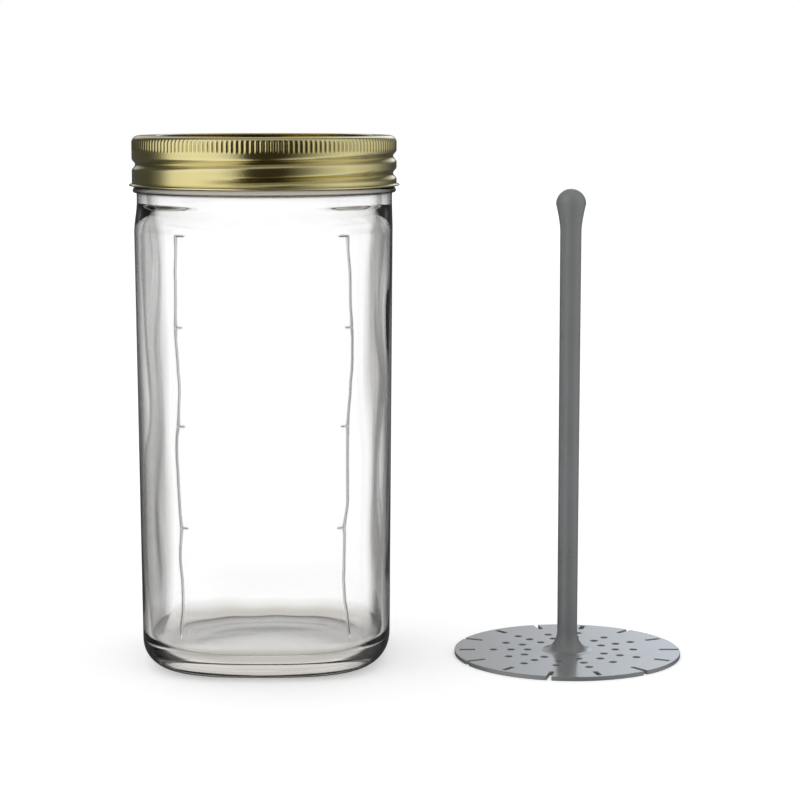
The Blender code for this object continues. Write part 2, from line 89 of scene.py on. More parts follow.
camera_data = bpy.data.cameras.new("camera")
camera = bpy.data.objects.new("camera", camera_data)
bpy.context.scene.collection.objects.link(camera)
bpy.context.scene.camera = camera
camera_tilt = math.atan2(CAMERA_HEIGHT - AIM_HEIGHT, CAMERA_BACK)
camera.location = (CAMERA_X, -CAMERA_BACK, CAMERA_HEIGHT)
camera.rotation_euler = (QUARTER_TURN - camera_tilt, 0.0, 0.0)
camera_data.sensor_width = SENSOR_WIDTH
camera_data.lens = SENSOR_WIDTH * CAMERA_BACK / math.cos(camera_tilt) / PICTURE_WIDTH
camera_data.dof.use_dof = False
bpy.context.scene.view_settings.view_transform = "Standard"
print("camera tilt, degrees:", round(math.degrees(camera_tilt), 2), "lens, mm:", round(camera_data.lens, 1))

# %% [markdown]
# ## Node helpers
# A finish is a small network of nodes. A few helpers keep the networks short: one adds a node and sets its
# sockets, one spreads colour stops along a ramp, one multiplies two colours and one adds fine relief.

# %% Node helpers
def add_node(tree, kind, settings=None, **sockets):
    """A node of one kind. Settings are its own properties, and sockets take a value or another socket."""
    made = tree.nodes.new("ShaderNode" + kind)
    for name, value in (settings or {}).items():
        setattr(made, name, value)
    for name, value in sockets.items():
        place = made.inputs[int(name[1:])] if name[0] == "_" else made.inputs[name.replace("_", " ")]
        if isinstance(value, bpy.types.NodeSocket):
            tree.links.new(value, place)
        else:
            place.default_value = value
    return made


def add_ramp(tree, value, stops):
    """A colour ramp over (position, brightness) or (position, colour) stops."""
    made = add_node(tree, "ValToRGB", _0=value)
    ramp = made.color_ramp
    for index, (position, level) in enumerate(stops):
        stop = ramp.elements[index] if index < 2 else ramp.elements.new(position)
        stop.position = position
        colour = level if isinstance(level, tuple) else (level, level, level)
        stop.color = (*colour, 1.0)
    return made.outputs["Color"]


def new_finish(name, **sockets):
    """A Principled material. The sockets that are the same all over are set here, on the shader itself."""
    material = bpy.data.materials.new(name)
    material.use_nodes = True
    shader = material.node_tree.nodes["Principled BSDF"]
    for socket, value in sockets.items():
        shader.inputs[socket.replace("_", " ")].default_value = value
    return material, material.node_tree, shader


def multiplied(tree, first, second):
    """Two colours multiplied."""
    mixed = add_node(tree, "MixRGB", {"blend_type": "MULTIPLY"}, Fac=1.0, Color1=first, Color2=second)
    return mixed.outputs[0]


def add_relief(tree, shader, height, strength, distance):
    """Relief that is too fine to model, as a bump on the finish."""
    bump = add_node(tree, "Bump", Height=height, Strength=strength, Distance=distance)
    tree.links.new(bump.outputs[0], shader.inputs["Normal"])


def wear(piece, material):
    """Give the piece its finish in place of any other."""
    piece.data.materials.clear()
    piece.data.materials.append(material)
    print(piece.name, "wears", material.name)


print("node helpers ready")

# %% [markdown]
# ## Light
# Clear glass and bright metal have hardly any look of their own: they show what stands round them. A glass
# photographer puts the jar before a bright field that is a little darker at its sides, and gives the gold
# lid two bright panels with a dark gap between them. Here the world plays that studio. What a ray sees
# depends on its direction and on where it comes from: a matt surface, a mirror, or glass.

# %% Brightness by direction
DARK_ROOM = 0.08
FRONT_GAP = (0.030, 0.025, 0.015)
BACK_WALL = 0.60
BACK_WALL_RIGHT = (1.15, 1.24, 1.36)
OVERHEAD = 0.42
FIELD_BACK = 1.08
FIELD_SIDE = 0.78
FIELD_FRONT = 1.0

world = bpy.data.worlds.new("studio")
bpy.context.scene.world = world
world.use_nodes = True
sky = world.node_tree
sky.nodes.clear()
direction = add_node(sky, "TexCoord").outputs["Generated"]
parts = add_node(sky, "SeparateXYZ", Vector=direction)
toward_viewer = add_node(sky, "Math", {"operation": "MULTIPLY"}, _0=parts.outputs["Y"], _1=-1.0)
heading = add_node(sky, "Math", {"operation": "ARCTAN2"}, _0=parts.outputs["X"], _1=toward_viewer.outputs[0])
heading_share = add_node(sky, "MapRange", _0=heading.outputs[0], From_Min=-math.pi, From_Max=math.pi)
rise = add_node(sky, "Math", {"operation": "ARCSINE"}, _0=parts.outputs["Z"])
rise_share = add_node(sky, "MapRange", _0=rise.outputs[0], From_Min=-QUARTER_TURN, From_Max=QUARTER_TURN)


def by_heading(stops):
    """A ramp over a ray's heading in degrees. 0 is towards the viewer, and right is positive."""
    places = [(0.5 + degrees / 360.0, level) for degrees, level in stops]
    return add_ramp(sky, heading_share.outputs[0], places)


def by_rise(stops):
    """A ramp over a ray's height above the horizon in degrees."""
    places = [(0.5 + degrees / 180.0, level) for degrees, level in stops]
    return add_ramp(sky, rise_share.outputs[0], places)


print("world reads heading and height of each ray")

# %% [markdown]
# The mirror light has a dark gap at the viewer, a panel on each side of it and a darker room behind. Above
# nine degrees the back wall is bright too, which is what the flat plate of the lifter shows. Glass has a
# field of its own: white before and behind, a little darker at the sides, and grey far below and far above.

# %% Light in mirrors and through glass
panels = by_heading([
    (-180, DARK_ROOM), (-112, DARK_ROOM), (-98, 0.22), (-84, 1.00), (-60, 1.13), (-38, 1.07), (-24, 0.75),
    (-12, FRONT_GAP), (21, FRONT_GAP), (30, (0.12, 0.116, 0.100)), (42, (0.30, 0.295, 0.265)), (60, 0.67),
    (82, 0.86), (107, 0.60), (128, 0.24), (150, 0.08), (180, DARK_ROOM),
])
back_wall = by_heading([
    (-180, BACK_WALL), (-160, BACK_WALL), (-140, 0.0), (140, 0.0), (158, BACK_WALL),
    (166, BACK_WALL_RIGHT), (173.5, BACK_WALL_RIGHT), (178.5, BACK_WALL), (180, BACK_WALL),
])
back_part = by_rise([(4, 0.0), (9, 1.0), (36, 1.0), (48, 0.0)])
top_part = by_rise([(46, 0.0), (66, 1.0)])
back_light = multiplied(sky, back_wall, back_part)
mirror_low = add_node(sky, "MixRGB", {"blend_type": "LIGHTEN"}, Fac=1.0, Color1=panels, Color2=back_light)
mirror_light = add_node(
    sky, "MixRGB", Fac=top_part, Color1=mirror_low.outputs[0], Color2=(OVERHEAD, OVERHEAD, OVERHEAD, 1.0))
field_height = by_rise([
    (-90, (0.72, 0.71, 0.69)), (-45, (0.74, 0.73, 0.71)), (-28, (0.82, 0.81, 0.79)), (-16, 1.0), (40, 1.0),
    (55, (0.40, 0.39, 0.38)), (90, (0.40, 0.39, 0.38)),
])
field_width = by_heading([
    (-180, FIELD_BACK), (-164, FIELD_BACK), (-146, FIELD_SIDE), (-75, FIELD_SIDE), (-40, FIELD_FRONT),
    (40, FIELD_FRONT), (75, FIELD_SIDE), (146, FIELD_SIDE), (164, FIELD_BACK), (180, FIELD_BACK),
])
glass_light = multiplied(sky, field_height, field_width)
print("mirror panels and glass field set")

# %% [markdown]
# Matt surfaces get a plain, even light, a little stronger from the left. What the camera sees directly is
# plain white, as behind the objects in the photograph.

# %% Light on matt surfaces, and the world's output
EVEN_LIGHT = 0.93
SIDE_LIGHT = 0.20

matt_side = add_node(
    sky, "Math", {"operation": "MULTIPLY_ADD"}, _0=parts.outputs["X"], _1=-SIDE_LIGHT, _2=EVEN_LIGHT)
path = add_node(sky, "LightPath")
seen = add_node(
    sky, "MixRGB", Fac=path.outputs["Is Glossy Ray"],
    Color1=matt_side.outputs[0], Color2=mirror_light.outputs[0])
seen = add_node(
    sky, "MixRGB", Fac=path.outputs["Is Transmission Ray"], Color1=seen.outputs[0], Color2=glass_light)
seen = add_node(
    sky, "MixRGB", Fac=path.outputs["Is Camera Ray"], Color1=seen.outputs[0], Color2=(1.0, 1.0, 1.0, 1.0))
background = add_node(sky, "Background", Color=seen.outputs[0])
add_node(sky, "OutputWorld", Surface=background.outputs[0])
print("world light: even", EVEN_LIGHT, "side", SIDE_LIGHT)

# %% [markdown]
# ## Floor
# The set stands on a white table that fades into the white wall. The floor keeps the soft shadow under each
# piece. A little of its white comes from its own colour towards the camera, so that it meets the wall
# without a line. Glass doesn't look at it, because the bright field behind the jar has to reach its foot.

# %% Floor
FLOOR_SIZE = 12.0
FLOOR_WHITE = 0.80
FLOOR_LIFT = 0.38

bpy.ops.object.select_all(action="DESELECT")
bpy.ops.mesh.primitive_plane_add(size=FLOOR_SIZE, location=(0.0, 0.0, TABLE_Z))
floor = bpy.context.object
floor.name = "floor"
floor_paint, floor_tree, floor_shader = new_finish("white_table", Roughness=0.9)
floor_shader.inputs["Specular IOR Level"].default_value = 0.0
floor_shader.inputs["Base Color"].default_value = (FLOOR_WHITE, FLOOR_WHITE, FLOOR_WHITE, 1.0)
floor_shader.inputs["Emission Color"].default_value = (1.0, 1.0, 1.0, 1.0)
floor_path = add_node(floor_tree, "LightPath")
floor_lift = add_node(
    floor_tree, "Math", {"operation": "MULTIPLY"}, _0=floor_path.outputs["Is Camera Ray"], _1=FLOOR_LIFT)
floor_tree.links.new(floor_lift.outputs[0], floor_shader.inputs["Emission Strength"])
floor.data.materials.append(floor_paint)
floor.visible_transmission = False
floor.visible_glossy = False
print("floor stands at", round(TABLE_Z, 4))

# %% [markdown]
# ## Shape helpers
# A turned piece starts as one point that is extruded along its outline, as with a pen, and the outline is
# then spun round the axis. The helpers below draw arcs, spin outlines and put a finished piece in place.

# %% Arcs and easing
WELD = 0.000002


def arc(centre_radius, centre_z, radius, start, end, steps):
    """Points (radius, z) along a round stretch of an outline, both ends included."""
    points = []
    for step in range(steps + 1):
        angle = start + (end - start) * step / steps
        points.append((centre_radius + radius * math.cos(angle), centre_z + radius * math.sin(angle)))
    return points


def straight(first, last, steps):
    """Points between two ends of a straight stretch, without the first end."""
    points = []
    for step in range(1, steps + 1):
        share = step / steps
        points.append(tuple(a + (b - a) * share for a, b in zip(first, last)))
    return points


def eased(first, last, share):
    """A value that leaves the first and reaches the last with no slope."""
    share = min(1.0, max(0.0, share))
    return first + (last - first) * share * share * (3.0 - 2.0 * share)


print("arc helpers ready")

# %% [markdown]
# Spinning starts from a vertex. A small plane is added, its corners are merged into one point, and that
# point is extruded from station to station. The spin then makes the walls and the seam is welded.

# %% Spin an outline
def spin_outline(name, outline, steps, closed=False):
    """A turned piece round x = 0, y = 0 from an outline of (radius, z) points."""
    bpy.ops.object.select_all(action="DESELECT")
    bpy.ops.mesh.primitive_plane_add(size=0.001, location=(0.0, 0.0, 0.0))
    piece = bpy.context.object
    piece.name = name
    piece.data.name = name
    bpy.ops.object.mode_set(mode="EDIT")
    bpy.ops.mesh.select_mode(type="VERT")
    bpy.ops.mesh.select_all(action="SELECT")
    bpy.ops.mesh.merge(type="CENTER")
    bpy.ops.transform.translate(value=(outline[0][0], 0.0, outline[0][1]))
    for before, after in zip(outline, outline[1:]):
        move = (after[0] - before[0], 0.0, after[1] - before[1])
        bpy.ops.mesh.extrude_region_move(TRANSFORM_OT_translate={"value": move})
    bpy.ops.mesh.select_all(action="SELECT")
    if closed:
        bpy.ops.mesh.remove_doubles(threshold=WELD)
    bpy.ops.mesh.spin(steps=steps, angle=FULL_TURN, center=(0.0, 0.0, 0.0), axis=(0.0, 0.0, 1.0))
    bpy.ops.mesh.select_all(action="SELECT")
    bpy.ops.mesh.remove_doubles(threshold=WELD)
    bpy.ops.mesh.normals_make_consistent(inside=False)
    bpy.ops.mesh.select_all(action="DESELECT")
    bpy.ops.object.mode_set(mode="OBJECT")
    return piece


def move_vertices(piece, rule):
    """Give each vertex of a piece the place that a rule says."""
    for vertex in piece.data.vertices:
        vertex.co = rule(vertex.co)


def use_modifier(piece, kind, **settings):
    """Add a modifier to the piece and apply it."""
    modifier = piece.modifiers.new(kind.lower(), kind)
    for name, value in settings.items():
        setattr(modifier, name, value)
    bpy.context.view_layer.objects.active = piece
    bpy.ops.object.modifier_apply(modifier=modifier.name)


def settle(piece, axis_x, smooth_degrees):
    """Smooth the piece and put it on its axis, with its place in its mesh."""
    bpy.ops.object.select_all(action="DESELECT")
    piece.select_set(True)
    bpy.context.view_layer.objects.active = piece
    bpy.ops.object.shade_smooth_by_angle(angle=math.radians(smooth_degrees))
    piece.location = (axis_x, 0.0, 0.0)
    bpy.ops.object.transform_apply(location=True, rotation=True, scale=True)
    low = [min(vertex.co[axis] for vertex in piece.data.vertices) for axis in range(3)]
    high = [max(vertex.co[axis] for vertex in piece.data.vertices) for axis in range(3)]
    print(piece.name, "faces:", len(piece.data.polygons), "size, mm:",
          [round(1000 * (b - a), 1) for a, b in zip(low, high)])


print("spin helpers ready")

# %% [markdown]
# ## The glass jar
# The real jar is pressed and blown: its neck is round and its body is a soft square, so it can't be spun.
# A flat grid does it instead. Each column of the grid becomes one upright line of the wall and each row one
# ring, from the middle of the base up the outside, over the rim and down the inside to the floor.

# %% Sizes of the jar
BODY_SQUARENESS = 3.0
ROUND_SQUARENESS = 2.0
TOP_HALF = 0.0479
FOOT_HALF = 0.0467
BODY_WALL = 0.0027
HEEL_RADIUS = 0.010
BEARING_WIDTH = 0.0030
PUSH_UP_HEIGHT = 0.0040
FLOOR_THICKNESS = 0.0065
FLOOR_CROWN = 0.0029
INNER_HEEL_RADIUS = 0.0075
BODY_TOP_Z = 0.1626
SHOULDER_TOP_Z = 0.1736
NECK_RADIUS = 0.0477
BEAD_FOOT_Z = 0.1768
BEAD_TOP_Z = 0.1790
BEAD_PROUD = 0.0017
FINISH_RADIUS = 0.0471
BORE_RADIUS = 0.0439
RIM_ROUND = 0.0012
BEARING_HALF = FOOT_HALF - HEEL_RADIUS
FOOT_INNER_HALF = FOOT_HALF - BODY_WALL
TOP_INNER_HALF = TOP_HALF - BODY_WALL
print("glass wall, mm:", 1000 * BODY_WALL, "bore, mm:", round(2000 * BORE_RADIUS, 1))

# %% [markdown]
# The front of the jar carries a moulded measuring scale. Two fine upright ridges run down the face, each with
# a bracket at its top and a tick for every quarter litre. Their columns and rows are set close together in
# the grid, so that a ridge is real glass and not painted on. Hot glass left the mould unevenly, so neither
# ridge is straight: each has a path of its own, a list of heights in metres with the degrees by which the
# ridge strays there. A little rough noise, read from its own patch for each ridge, comes on top.

# %% Measuring scale
SCALE_MIDDLE = math.radians(-88.5)
RIDGE_TURN = math.radians(35.6)
RIDGE_HALF_WIDTH = math.radians(0.40)
RIDGE_HEIGHT = 0.00050
TICK_TURN = math.radians(2.9)
BRACKET_TURN = math.radians(4.2)
TICK_HALF_HEIGHT = 0.00032
RIDGE_FOOT_Z = 0.0167
SWAY_FADE = math.radians(6.0)
ROUGH_DEGREES = 0.25
ROUGH_WAVES = 170.0
LEFT_PATCH = (70.0, 8.5)
RIGHT_PATCH = (75.0, 8.5)
EVEN_COLUMNS = 176
CLOSE_COLUMNS = (
    -5.6, -5.0, -4.5, -4.35, -3.6, -3.0, -2.85, -2.2, -1.4, -0.8, -0.42, -0.2, 0.0, 0.2, 0.42, 0.8)
COLUMN_SPARE = math.radians(0.55)
TICK_HEIGHTS = (0.1630, 0.1300, 0.0942, 0.0570)
LEFT_PATH = (
    (0.020, -0.2), (0.028, 0.9), (0.036, 0.6), (0.047, -0.1), (0.057, 0.5), (0.067, -0.1), (0.077, -0.7),
    (0.088, -0.9), (0.098, 0.2), (0.108, 0.8), (0.118, 0.2), (0.128, -0.5), (0.144, -0.2), (0.160, 0.1))
RIGHT_PATH = (
    (0.016, 1.2), (0.020, 0.5), (0.026, -0.4), (0.031, -1.3), (0.036, -1.7), (0.057, -1.3), (0.067, 0.0),
    (0.088, -0.1), (0.098, 0.3), (0.108, 1.2), (0.118, 2.0), (0.128, 2.0), (0.138, 1.1), (0.148, 1.0),
    (0.160, 0.0))


def ridge_sway(turn_from_middle, z):
    """How far the ridge and the wall near it wander sideways, as a turn about the jar's axis."""
    aside = abs(turn_from_middle)
    held = eased(1.0, 0.0, max(RIDGE_TURN - BRACKET_TURN - aside, aside - RIDGE_TURN) / SWAY_FADE)
    ridge_path, patch = (RIGHT_PATH, RIGHT_PATCH) if turn_from_middle > 0.0 else (LEFT_PATH, LEFT_PATCH)
    strayed = ridge_path[0][1]
    for (low_z, low_turn), (high_z, high_turn) in zip(ridge_path, ridge_path[1:]):
        if z > low_z:
            strayed = eased(low_turn, high_turn, (z - low_z) / (high_z - low_z))
    rough = ROUGH_DEGREES * noise.noise((*patch, ROUGH_WAVES * z))
    return math.radians(strayed + rough) * held


def scale_height(turn_from_middle, z):
    """How proud the moulded scale stands at one place of the front face."""
    aside = abs(turn_from_middle)
    across = abs(aside - RIDGE_TURN) / RIDGE_HALF_WIDTH
    line = max(0.0, 1.0 - across * across) if RIDGE_FOOT_Z < z < TICK_HEIGHTS[0] + TICK_HALF_HEIGHT else 0.0
    tick = 0.0
    reach = BRACKET_TURN if z > TICK_HEIGHTS[1] + TICK_HALF_HEIGHT else TICK_TURN
    if RIDGE_TURN - reach < aside < RIDGE_TURN + RIDGE_HALF_WIDTH:
        nearest = min(abs(z - height) for height in TICK_HEIGHTS) / TICK_HALF_HEIGHT
        tick = max(0.0, 1.0 - nearest * nearest)
    return RIDGE_HEIGHT * max(line, tick)


def grid_turns():
    """The headings of the jar's columns: even ones, and close ones at the two ridges."""
    even = [step * FULL_TURN / EVEN_COLUMNS - math.pi for step in range(EVEN_COLUMNS)]
    close = [RIDGE_TURN + math.radians(degrees) for degrees in CLOSE_COLUMNS]
    close = [SCALE_MIDDLE + turn for turn in close] + [SCALE_MIDDLE - turn for turn in close]
    even = [turn for turn in even if min(abs(turn - other) for other in close) > COLUMN_SPARE]
    return sorted(even + close)


JAR_TURNS = grid_turns()
print("columns in the jar:", len(JAR_TURNS))

# %% [markdown]
# The thread is a rounded bead that climbs to the right round the neck and fades out at both ends. On this
# grid it is one more height added to the wall. The band's rolled groove later uses the same climb.

# %% Thread on the neck
THREAD_PITCH = 0.00635
THREAD_RADIUS = 0.0017
THREAD_SUNK = 0.0005
THREAD_START_Z = 0.186695
THREAD_START = math.radians(-110.0)
THREAD_END = math.radians(300.0)
THREAD_FADE = math.radians(30.0)


def along_helix(turn, z, start_z, start, end):
    """The nearest stretch of a helix: distance above it, and how far it has faded in there."""
    best = (1.0, 0.0)
    for lap in (-1, 0, 1, 2):
        climbed = turn + lap * FULL_TURN
        if start <= climbed <= end:
            above = z - (start_z + THREAD_PITCH * climbed / FULL_TURN)
            fade = min(1.0, (climbed - start) / THREAD_FADE, (end - climbed) / THREAD_FADE)
            if abs(above) < abs(best[0]):
                best = (above, eased(0.0, 1.0, fade))
    return best


def thread_height(turn, z):
    """How proud the glass thread stands on the neck."""
    above, fade = along_helix(turn, z, THREAD_START_Z, THREAD_START, THREAD_END)
    if abs(above) >= THREAD_RADIUS:
        return 0.0
    return fade * max(0.0, math.sqrt(THREAD_RADIUS ** 2 - above ** 2) - THREAD_SUNK)


print("thread stands proud, mm:", round(1000 * thread_height(0.0, THREAD_START_Z), 2))

# %% [markdown]
# The inside of a blown jar is never quite true: the glass gathered a little thicker here and thinner there.
# Those slow waves make the wandering dark lines at the edge of a jar, so the inner wall gets them as shape.

# %% Rings of the jar
WAVE_DEPTH = 0.00040
WAVES_AROUND = 3.2
WAVES_UP = 26.0
WAVE_EASE = 0.02
CAP_SHARES = (0.0, 0.10, 0.25, 0.4, 0.55, 0.7, 0.82, 0.92)
ROW_STEP = 0.0040
ROW_SPARE = 0.0006
TICK_ROWS = (-0.0006, -0.00034, -0.00016, 0.0, 0.00016, 0.00034, 0.0006)


def skin_rows():
    """Heights of the rings from heel to neck, with close ones at the ticks and the ridge's foot."""
    rows = [HEEL_RADIUS + ROW_STEP * step for step in range(1, 38)]
    rows += [BODY_TOP_Z + (SHOULDER_TOP_Z - BODY_TOP_Z) * step / 16 for step in range(17)]
    close = [RIDGE_FOOT_Z - 0.0003, RIDGE_FOOT_Z + 0.0003]
    for height in TICK_HEIGHTS:
        close += [height + step for step in TICK_ROWS]
    rows = [z for z in rows if min(abs(z - other) for other in close) > ROW_SPARE]
    return sorted(rows + close)


def outer_rings():
    """Outside of the jar from the base up to the rim, as (half width, squareness, z, kind)."""
    hollow_edge = BEARING_HALF - BEARING_WIDTH
    rings = []
    for share in CAP_SHARES:
        squareness = eased(ROUND_SQUARENESS, BODY_SQUARENESS, share)
        rings.append((hollow_edge * share, squareness, PUSH_UP_HEIGHT * (1.0 - share * share), "plain"))
    rings.append((hollow_edge + 0.0002, BODY_SQUARENESS, 0.0002, "plain"))
    rings.append((hollow_edge + 0.0008, BODY_SQUARENESS, 0.0, "plain"))
    for half, z in arc(BEARING_HALF, HEEL_RADIUS, HEEL_RADIUS, -QUARTER_TURN, 0.0, 14):
        rings.append((half, BODY_SQUARENESS, z, "plain"))
    for z in skin_rows():
        if z < BODY_TOP_Z:
            share = (z - HEEL_RADIUS) / (BODY_TOP_Z - HEEL_RADIUS)
            rings.append((FOOT_HALF + (TOP_HALF - FOOT_HALF) * share, BODY_SQUARENESS, z, "body"))
        else:
            share = (z - BODY_TOP_Z) / (SHOULDER_TOP_Z - BODY_TOP_Z)
            squareness = eased(BODY_SQUARENESS, ROUND_SQUARENESS, share)
            rings.append((eased(TOP_HALF, NECK_RADIUS, share), squareness, z, "body"))
    return rings


def neck_rings():
    """Outside of the neck: the transfer bead, the threaded finish and the round of the rim."""
    rings = [(NECK_RADIUS, ROUND_SQUARENESS, BEAD_FOOT_Z - 0.0006, "plain")]
    half_height = (BEAD_TOP_Z - BEAD_FOOT_Z) / 2
    for step in range(13):
        share = step / 12
        swell = BEAD_PROUD * math.sqrt(max(0.0, math.sin(math.pi * share)))
        foot = eased(NECK_RADIUS, FINISH_RADIUS, share)
        z = BEAD_TOP_Z - half_height * (1.0 + math.cos(math.pi * share))
        rings.append((foot + swell, ROUND_SQUARENESS, z, "plain"))
    rows = 34
    for step in range(1, rows):
        z = BEAD_TOP_Z + (RIM_Z - RIM_ROUND - BEAD_TOP_Z) * step / rows
        rings.append((FINISH_RADIUS, ROUND_SQUARENESS, z, "thread"))
    for radius, z in arc(FINISH_RADIUS - RIM_ROUND, RIM_Z - RIM_ROUND, RIM_ROUND, 0.0, QUARTER_TURN, 8):
        rings.append((radius, ROUND_SQUARENESS, z, "plain"))
    return rings


def inner_rings():
    """Inside of the jar from the rim down to the middle of its floor."""
    rings = []
    for radius, z in arc(BORE_RADIUS + RIM_ROUND, RIM_Z - RIM_ROUND, RIM_ROUND, QUARTER_TURN, math.pi, 8):
        rings.append((radius, ROUND_SQUARENESS, z, "plain"))
    for z in (0.1900, 0.1860, 0.1820, 0.1780):
        rings.append((BORE_RADIUS, ROUND_SQUARENESS, z, "plain"))
    for step in range(17):
        share = step / 16
        half = eased(BORE_RADIUS, TOP_INNER_HALF, share)
        squareness = eased(ROUND_SQUARENESS, BODY_SQUARENESS, share)
        rings.append((half, squareness, SHOULDER_TOP_Z - (SHOULDER_TOP_Z - BODY_TOP_Z) * share, "inside"))
    heel_half = FOOT_INNER_HALF - INNER_HEEL_RADIUS
    heel_z = FLOOR_THICKNESS + INNER_HEEL_RADIUS
    for step in range(1, 40):
        share = step / 40
        half = TOP_INNER_HALF + (FOOT_INNER_HALF - TOP_INNER_HALF) * share
        rings.append((half, BODY_SQUARENESS, BODY_TOP_Z + (heel_z - BODY_TOP_Z) * share, "inside"))
    for half, z in arc(heel_half, heel_z, INNER_HEEL_RADIUS, 0.0, -QUARTER_TURN, 12):
        rings.append((half, BODY_SQUARENESS, z, "plain"))
    for share in reversed(CAP_SHARES):
        squareness = eased(ROUND_SQUARENESS, BODY_SQUARENESS, share)
        floor_z = FLOOR_THICKNESS + FLOOR_CROWN * (1.0 - share * share)
        rings.append((heel_half * share, squareness, floor_z, "plain"))
    return rings


JAR_RINGS = outer_rings() + neck_rings() + inner_rings()
print("rings in the jar:", len(JAR_RINGS))

# %% [markdown]
# Now the grid is rolled up. Its vertices are counted by column and row, and each one moves to its ring. The
# seam and the two poles are then welded, which closes the glass into one skin.

# %% Roll the grid into a jar
def wall_point(turn, ring):
    """One point of the jar's wall."""
    half, squareness, z, kind = ring
    from_middle = math.remainder(turn - SCALE_MIDDLE, FULL_TURN)
    if kind == "body":
        turn += ridge_sway(from_middle, z)
    spread = abs(math.cos(turn)) ** squareness + abs(math.sin(turn)) ** squareness
    radius = half / spread ** (1.0 / squareness)
    if kind == "body":
        radius += scale_height(from_middle, z)
    if kind == "thread":
        radius += thread_height(turn, z)
    if kind == "inside":
        round_jar = (WAVES_AROUND * math.cos(turn), WAVES_AROUND * math.sin(turn), WAVES_UP * z)
        from_end = min(SHOULDER_TOP_Z - z, z - FLOOR_THICKNESS - INNER_HEEL_RADIUS)
        radius += WAVE_DEPTH * noise.noise(round_jar) * min(1.0, max(0.0, from_end / WAVE_EASE))
    return (radius * math.cos(turn), radius * math.sin(turn), z)


columns = len(JAR_TURNS)
rows = len(JAR_RINGS) - 1
bpy.ops.object.select_all(action="DESELECT")
bpy.ops.mesh.primitive_grid_add(
    x_subdivisions=columns, y_subdivisions=rows, size=1.0, location=(0.0, 0.0, 0.0))
jar = bpy.context.object
jar.name = "jar_wall"
jar.data.name = "jar_wall"


def roll_up(place):
    """From a place on the flat grid to a place on the jar."""
    column = round((place.x + 0.5) * columns) % columns
    row = round((place.y + 0.5) * rows)
    return wall_point(JAR_TURNS[column], JAR_RINGS[row])


move_vertices(jar, roll_up)
bpy.ops.object.mode_set(mode="EDIT")
bpy.ops.mesh.select_all(action="SELECT")
bpy.ops.mesh.remove_doubles(threshold=WELD)
bpy.ops.mesh.normals_make_consistent(inside=False)
bpy.ops.object.mode_set(mode="OBJECT")
settle(jar, JAR_X, smooth_degrees=80.0)

# %% [markdown]
# ## Glass
# Clear glass keeps its full transmission and is almost polished. What makes a jar read as glass is its dark
# edge, and here that edge is painted shade: Layer Weight finds where the eye looks along the wall, and a ramp
# turns it into a dark tint in the colour. Lower down, the painted dark edge reaches further in. Pointiness
# finds the moulded ridges, which bend the light away, and paints them dark as well, which is painted shade
# too.

# %% Painted dark edges of the glass
GLASS_TOP = 0.2

glass, glass_tree, glass_shader = new_finish("clear_glass", Roughness=0.0, IOR=1.5, Transmission_Weight=1.0)
glass_place = add_node(glass_tree, "TexCoord")
glass_spot = add_node(glass_tree, "SeparateXYZ", Vector=glass_place.outputs["Object"])
glass_rise = add_node(glass_tree, "MapRange", _0=glass_spot.outputs["Z"], From_Min=0.0, From_Max=GLASS_TOP)


def by_glass_height(stops):
    """A ramp over the height on the jar, with its stops in metres."""
    return add_ramp(glass_tree, glass_rise.outputs[0], [(z / GLASS_TOP, level) for z, level in stops])


# Painted shade: the glass colour goes dark where the wall is seen edge-on, and reaches further in lower down.
edge_lift = by_glass_height([(0.0, 0.0), (0.0126, 0.0), (0.0306, 0.06), (0.0846, 0.06), (0.135, 0.0)])
facing = add_node(glass_tree, "LayerWeight", Blend=0.5)
edge_reach = add_node(glass_tree, "Math", {"operation": "ADD"}, _0=facing.outputs["Facing"], _1=edge_lift)
edge_tint = add_ramp(glass_tree, edge_reach.outputs[0], [
    (0.0, 0.99),
    (0.55, 0.98),
    (0.66, (0.60, 0.59, 0.58)),
    (0.75, (0.16, 0.155, 0.15)),
    (0.85, (0.03, 0.029, 0.027)),
])
# Painted shade: the moulded ridges are painted dark in the glass colour.
glass_bends = add_node(glass_tree, "NewGeometry")
bend_tint = add_ramp(glass_tree, glass_bends.outputs["Pointiness"], [
    (0.45, 0.10), (0.49, 1.0), (0.51, 1.0), (0.55, 0.10)])
clear_tint = multiplied(glass_tree, edge_tint, bend_tint)
print("edge tint ready")

# %% [markdown]
# The base and the bead at the neck are thick, uneven glass. Their colour is painted a little grey brown as
# painted shade: the band's shade in the bead and the jar's own shadow seen through the base. A low roughness
# stands for the small bubbles and scars that blur what lies behind them. A faint ripple bends the light
# everywhere, as pressed glass does.

# %% Clear glass
# Painted shade: the base and the bead under the band are painted grey brown, for the jar's own shadow and the
# band's shade.
thick_tint = by_glass_height([
    (0.0, (0.58, 0.55, 0.51)), (0.006, (0.66, 0.63, 0.59)), (0.009, 1.0),
    (0.1764, 1.0), (0.1775, (0.46, 0.43, 0.37)), (0.1794, (0.40, 0.37, 0.31)), (0.1812, 1.0),
])
thick_blur = by_glass_height([
    (0.0, 0.14), (0.0054, 0.08), (0.009, 0.0), (0.1764, 0.0), (0.1775, 0.30), (0.1794, 0.30), (0.1812, 0.0)])
glass_tree.links.new(multiplied(glass_tree, clear_tint, thick_tint), glass_shader.inputs["Base Color"])
glass_tree.links.new(thick_blur, glass_shader.inputs["Roughness"])
long_waves = add_node(glass_tree, "Mapping", Vector=glass_place.outputs["Object"], Scale=(1.0, 1.0, 0.25))
ripple = add_node(glass_tree, "TexNoise", Vector=long_waves.outputs[0], Scale=55.0, Detail=1.0)
add_relief(glass_tree, glass_shader, ripple.outputs[0], strength=0.12, distance=0.0006)
wear(jar, glass)
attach(jar, "jar")
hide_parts("glass_jar")

# %% [markdown]
# ## The screw band
# The band is one sheet of tinplate. A press drew it into a ring with a lip over the disc, a knurl gave it
# grip, rollers pressed the thread groove, and its foot was curled out. The outline is drawn as a closed loop,
# outside and inside, and spun with four columns to a flute. Groove and knurl are then pressed in together.

